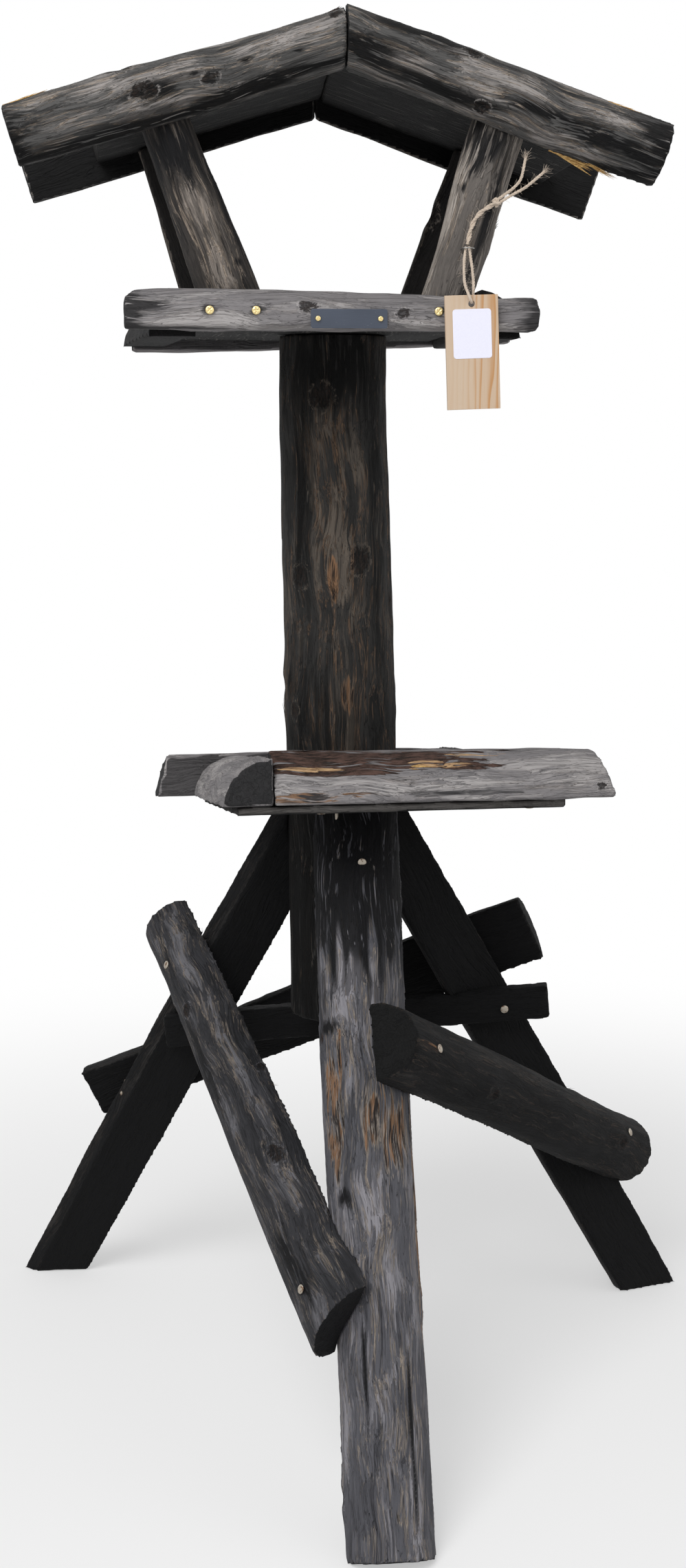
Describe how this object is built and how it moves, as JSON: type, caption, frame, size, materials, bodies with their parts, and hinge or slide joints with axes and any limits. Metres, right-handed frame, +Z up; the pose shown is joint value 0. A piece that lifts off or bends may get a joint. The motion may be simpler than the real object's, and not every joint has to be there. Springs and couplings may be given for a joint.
{
  "type": "bird table",
  "caption": "Rustic free-standing bird table of half-round poles: a small roofed tray on a post, a larger open tray below it and a braced tripod, with a tag hung on twine.",
  "frame": {"origin": "on the ground, at the middle of the object's box", "axes": "+Z up along the post, -Y the front with the plate and the tag, +X to the right as seen from the front"},
  "size_m": [0.6962, 0.688, 1.251],
  "materials": {
    "tripod_pole": "weathered, peeled bark side",
    "roof_pole": "stained and weathered",
    "driftwood_rail": "hewn, silver grey",
    "sawn_board": "sawn, dark stained",
    "steel_nail": "dull, rusting",
    "brass_screw": "plain",
    "dark_plate": "dark, satin, blank",
    "staple_wire": "dull",
    "tag_pine": "planed",
    "blank_label": "satin, blank",
    "jute_twine": "natural fibre"
  },
  "bodies": {
    "table": {"batten_nails": "steel_nail", "brace_nails": "steel_nail", "cross_batten": "sawn_board", "front_left_upright": "roof_pole", "front_leg": "tripod_pole", "front_right_upright": "roof_pole", "left_brace": "tripod_pole", "left_leg": "tripod_pole", "leg_nails": "steel_nail", "lower_floor_front_board": "sawn_board", "lower_floor_nails": "steel_nail", "lower_floor_rear_board": "sawn_board", "lower_front_rail": "driftwood_rail", "lower_left_rail": "driftwood_rail", "lower_rail_nails": "steel_nail", "lower_rear_rail": "driftwood_rail", "lower_right_rail": "driftwood_rail", "name_plate": "dark_plate", "plate_screws": "brass_screw", "post": "tripod_pole", "rear_brace": "tripod_pole", "rear_left_upright": "roof_pole", "rear_right_upright": "roof_pole", "right_brace": "tripod_pole", "right_leg": "tripod_pole", "roof_front_left_log": "roof_pole", "roof_front_right_log": "roof_pole", "roof_left_board": "sawn_board", "roof_rear_left_log": "roof_pole", "roof_rear_right_log": "roof_pole", "roof_right_board": "sawn_board", "twine_end_a": "jute_twine", "twine_end_b": "jute_twine", "twine_knot": "jute_twine", "twine_staple": "staple_wire", "twine_tail": "jute_twine", "upper_floor_board": "sawn_board", "upper_floor_nails": "steel_nail", "upper_front_rail": "driftwood_rail", "upper_left_rail": "driftwood_rail", "upper_rail_screws": "brass_screw", "upper_rear_rail": "driftwood_rail", "upper_right_rail": "driftwood_rail"},
    "tag": {"hang_tag": "tag_pine", "tag_label": "blank_label", "twine_loop": "jute_twine"}
  },
  "joints": [
    {"name": "tag_swing", "type": "hinge", "parent": "table", "child": "tag", "pos_m": [0.07098, -0.04191, 1.052], "axis": [0, 1, 0], "range_deg": [-20, 20]}
  ]
}
